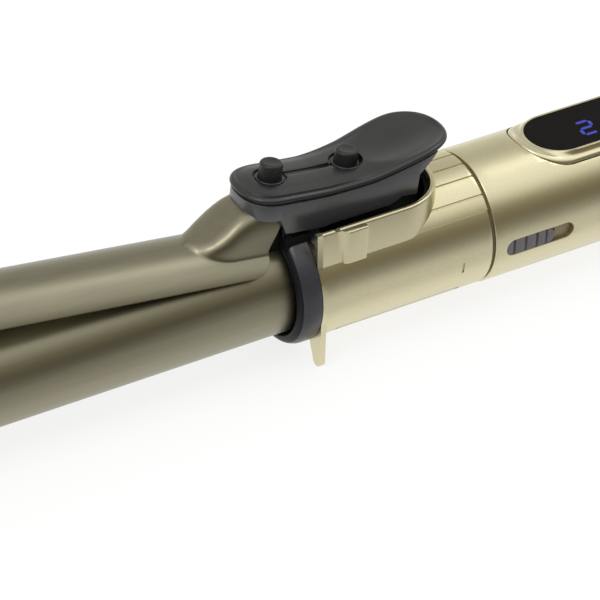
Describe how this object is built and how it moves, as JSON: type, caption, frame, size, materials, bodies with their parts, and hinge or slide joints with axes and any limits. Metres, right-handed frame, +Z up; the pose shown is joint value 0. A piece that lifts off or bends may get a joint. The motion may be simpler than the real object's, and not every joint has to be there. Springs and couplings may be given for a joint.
{
  "type": "rotating curling iron",
  "caption": "Motor-driven rotating curling iron: a coated barrel with a sprung clamp and thumb lever on a turning collar, and a gold handle with a display, a side slide and a swivel cord gland.",
  "frame": {"origin": "centre of the bounding box in X and Y, on the surface that the feet and tail stand on", "axes": "+X from the cool tip to the tail along the barrel, +Z up towards the thumb lever"},
  "size_m": [0.3608, 0.0366, 0.0507],
  "materials": {
    "barrel_coating": "satin bronze-grey ceramic coating on an aluminium tube",
    "clamp_coating": "satin bronze-grey ceramic coating on spring steel sheet",
    "gold_shell": "satin champagne-gold paint on moulded plastic",
    "gold_plate": "satin champagne-gold paint on steel plate",
    "black_plastic": "satin black heat-resistant plastic",
    "grey_plastic": "fine-textured dark grey plastic",
    "black_window": "polished black tinted window",
    "display_body": "black display body",
    "steel": "bright zinc-plated steel",
    "bare_aluminium": "extruded aluminium",
    "heater_ceramic": "white ceramic, opaque",
    "circuit_board": "green solder mask",
    "bronze": "machined bronze",
    "carbon": "pressed carbon"
  },
  "bodies": {
    "handle": {"handle_shell": "gold_shell", "handle_cover": "gold_shell", "handle_screws": "steel", "bearing_bulkhead": "black_plastic", "bearing_bush": "bronze", "slide_switch": "grey_plastic", "display_bezel": "gold_shell", "display_window": "black_window", "display_module": "display_body", "control_board": "circuit_board", "panel_switches": "grey_plastic", "gearbox": "steel", "motor": "steel", "chassis": "black_plastic", "brush_block": "black_plastic", "brushes": "carbon", "tail_cap": "gold_shell", "tail_screws": "steel"},
    "rotor": {"barrel": "barrel_coating", "cool_tip": "black_plastic", "tip_bridge": "steel", "tip_screw": "steel", "heat_spreaders": "bare_aluminium", "heater_plate": "heater_ceramic", "thermistor": "steel", "thermal_fuse": "heater_ceramic", "hinge_ring": "black_plastic", "rest_stand": "gold_plate", "collar_shell": "gold_shell", "collar_cover": "gold_shell", "collar_screws": "steel", "cradle_tray": "black_plastic", "rotor_frame": "black_plastic", "journal_circlip": "steel", "slip_rings": "bronze", "drive_shaft": "steel", "return_spring": "steel"},
    "clamp": {"clamp_plate": "clamp_coating", "lever_base": "black_plastic", "lever_cap": "black_plastic", "hinge_pin": "steel", "clamp_screws": "steel", "lever_board": "circuit_board", "lever_switches": "grey_plastic"},
    "front_curl": {"front_curl_button": "black_plastic"},
    "rear_curl": {"rear_curl_button": "black_plastic"},
    "slider": {"slider_knob": "grey_plastic"},
    "plus": {"plus_button": "grey_plastic"},
    "minus": {"minus_button": "grey_plastic"},
    "power": {"power_button": "grey_plastic"},
    "gland": {"swivel_gland": "black_plastic"}
  },
  "joints": [
    {"name": "barrel_spin", "type": "hinge", "parent": "handle", "child": "rotor", "pos_m": [0.0278, 0, 0.0183], "axis": [1, 0, 0], "continuous": true},
    {"name": "clamp_pivot", "type": "hinge", "parent": "rotor", "child": "clamp", "pos_m": [-0.0209, 0, 0.0373], "axis": [0, 1, 0], "range_deg": [-7.8, 10.2], "stiffness_Nm_per_rad": 0.8, "deforming": ["return_spring"]},
    {"name": "front_curl_press", "type": "slide", "parent": "clamp", "child": "front_curl", "axis": [-0.1357, 0, -0.9907], "range_m": [0, 0.00045], "stiffness_N_per_m": 700},
    {"name": "rear_curl_press", "type": "slide", "parent": "clamp", "child": "rear_curl", "axis": [-0.1357, 0, -0.9907], "range_m": [0, 0.00045], "stiffness_N_per_m": 700},
    {"name": "heat_slide", "type": "slide", "parent": "handle", "child": "slider", "axis": [1, 0, 0], "range_m": [0, 0.0049]},
    {"name": "plus_press", "type": "slide", "parent": "handle", "child": "plus", "axis": [0, 0, -1], "range_m": [0, 0.00045], "stiffness_N_per_m": 700},
    {"name": "minus_press", "type": "slide", "parent": "handle", "child": "minus", "axis": [0, 0, -1], "range_m": [0, 0.00045], "stiffness_N_per_m": 700},
    {"name": "power_press", "type": "slide", "parent": "handle", "child": "power", "axis": [0, 0, -1], "range_m": [0, 0.00045], "stiffness_N_per_m": 700},
    {"name": "gland_swivel", "type": "hinge", "parent": "handle", "child": "gland", "pos_m": [0.1641, 0, 0.0183], "axis": [1, 0, 0], "continuous": true}
  ]
}
